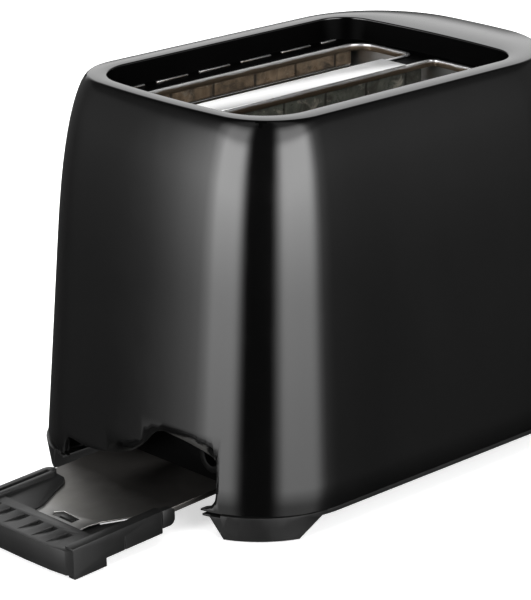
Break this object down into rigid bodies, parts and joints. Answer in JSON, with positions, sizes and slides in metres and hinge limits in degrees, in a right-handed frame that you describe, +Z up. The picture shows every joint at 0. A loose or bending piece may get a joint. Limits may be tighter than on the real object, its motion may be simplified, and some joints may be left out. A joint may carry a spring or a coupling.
{
  "type": "pop-up toaster",
  "caption": "Black pop-up toaster with two long bread slots in a sunken top, a spring-raised lever carriage, a browning dial and a slide-out crumb tray.",
  "frame": {"origin": "centre of the bounding box's footprint with the crumb tray drawn out, at the level of the feet", "axes": "+X from the crumb tray's end to the lever's end, +Y to the left of that, +Z up"},
  "size_m": [0.341, 0.1714, 0.185],
  "materials": {
    "shell": "high-gloss black, moulded",
    "well_floor": "satin black, moulded",
    "panel": "satin black insert",
    "base": "fine-textured black",
    "bay": "unlit black, coarse textured",
    "rubber": "matt",
    "screw_steel": "zinc plated",
    "gland": "moulded nylon",
    "tray_steel": "cold rolled, lightly brushed",
    "handle": "satin black, moulded",
    "bright_steel": "bright plated",
    "plain_steel": "galvanised",
    "reflector": "bright, heat tinted",
    "mica": "layered mica board",
    "nichrome": "heat darkened flat wire",
    "guide_wire": "plated wire",
    "nylon": "natural nylon",
    "knob": "semi-gloss black",
    "spring_steel": "drawn wire",
    "copper": "enamelled winding",
    "circuit_board": "phenolic paper board",
    "component": "moulded component cases",
    "marking": "white print",
    "button": "semi-gloss black"
  },
  "bodies": {
    "housing": {"base_pan": "base", "base_screws": "screw_steel", "board_posts": "nylon", "body_shell": "shell", "browning_control": "component", "button_switch": "component", "centre_divider": "bright_steel", "centre_heater_board": "mica", "centre_heating_wires": "nichrome", "chassis_screws": "screw_steel", "control_board": "circuit_board", "control_panel": "panel", "cord_gland": "gland", "foot_pads": "rubber", "front_chassis_plate": "plain_steel", "guide_rod": "bright_steel", "left_heater_board": "mica", "left_heating_wire": "nichrome", "left_rail": "plain_steel", "left_reflector": "reflector", "magnet_coil": "copper", "magnet_core": "plain_steel", "rear_chassis_plate": "plain_steel", "recess_panel": "bay", "return_spring": "spring_steel", "right_heater_board": "mica", "right_heating_wire": "nichrome", "right_rail": "plain_steel", "right_reflector": "reflector", "slot_frame": "bright_steel", "switch_block": "component", "terminal_block": "nylon", "well_floor": "well_floor"},
    "carriage": {"left_bread_lifter": "plain_steel", "right_bread_lifter": "plain_steel", "carriage_bracket": "plain_steel", "carriage_bush": "nylon", "armature_plate": "plain_steel", "lever_arm": "plain_steel", "lever_knob": "knob"},
    "tray": {"crumb_tray": "tray_steel", "tray_handle": "handle"},
    "dial": {"dial_shaft": "nylon", "browning_dial": "knob", "dial_pointer": "marking"},
    "button": {"cancel_button": "button"},
    "inner_guide_left": {"left_inner_guide": "guide_wire"},
    "inner_guide_right": {"right_inner_guide": "guide_wire"},
    "outer_guide_left": {"left_outer_guide": "guide_wire"},
    "outer_guide_right": {"right_outer_guide": "guide_wire"}
  },
  "joints": [
    {"name": "carriage_slide", "type": "slide", "parent": "housing", "child": "carriage", "axis": [0, 0, 1], "range_m": [-0.058, 0], "stiffness_N_per_m": 70, "springref_m": 0.04, "deforming": ["return_spring"]},
    {"name": "tray_slide", "type": "slide", "parent": "housing", "child": "tray", "axis": [1, 0, 0], "range_m": [-0.1, 0.072]},
    {"name": "dial_turn", "type": "hinge", "parent": "housing", "child": "dial", "pos_m": [0.1525, 0, 0.05], "axis": [1, 0, 0], "range_deg": [-135, 135]},
    {"name": "button_press", "type": "slide", "parent": "housing", "child": "button", "axis": [-1, 0, 0], "range_m": [0, 0.0025], "stiffness_N_per_m": 600, "springref_m": -0.0006},
    {"name": "inner_guide_left_swing", "type": "hinge", "parent": "housing", "child": "inner_guide_left", "pos_m": [0.0169, 0.01, 0.033], "axis": [1, 0, 0], "range_deg": [-3.5, 0]},
    {"name": "inner_guide_right_swing", "type": "hinge", "parent": "housing", "child": "inner_guide_right", "pos_m": [0.0169, -0.01, 0.033], "axis": [1, 0, 0], "range_deg": [0, 3.5]},
    {"name": "outer_guide_left_swing", "type": "hinge", "parent": "housing", "child": "outer_guide_left", "pos_m": [0.0169, 0.0378, 0.033], "axis": [1, 0, 0], "range_deg": [0, 3.5]},
    {"name": "outer_guide_right_swing", "type": "hinge", "parent": "housing", "child": "outer_guide_right", "pos_m": [0.0169, -0.0378, 0.033], "axis": [1, 0, 0], "range_deg": [-3.5, 0]}
  ],
  "couplings": [
    {"joint": "inner_guide_left_swing", "follows": "carriage_slide", "rad_per_m": 1.05},
    {"joint": "inner_guide_right_swing", "follows": "carriage_slide", "rad_per_m": -1.05},
    {"joint": "outer_guide_left_swing", "follows": "carriage_slide", "rad_per_m": -1.05},
    {"joint": "outer_guide_right_swing", "follows": "carriage_slide", "rad_per_m": 1.05}
  ]
}
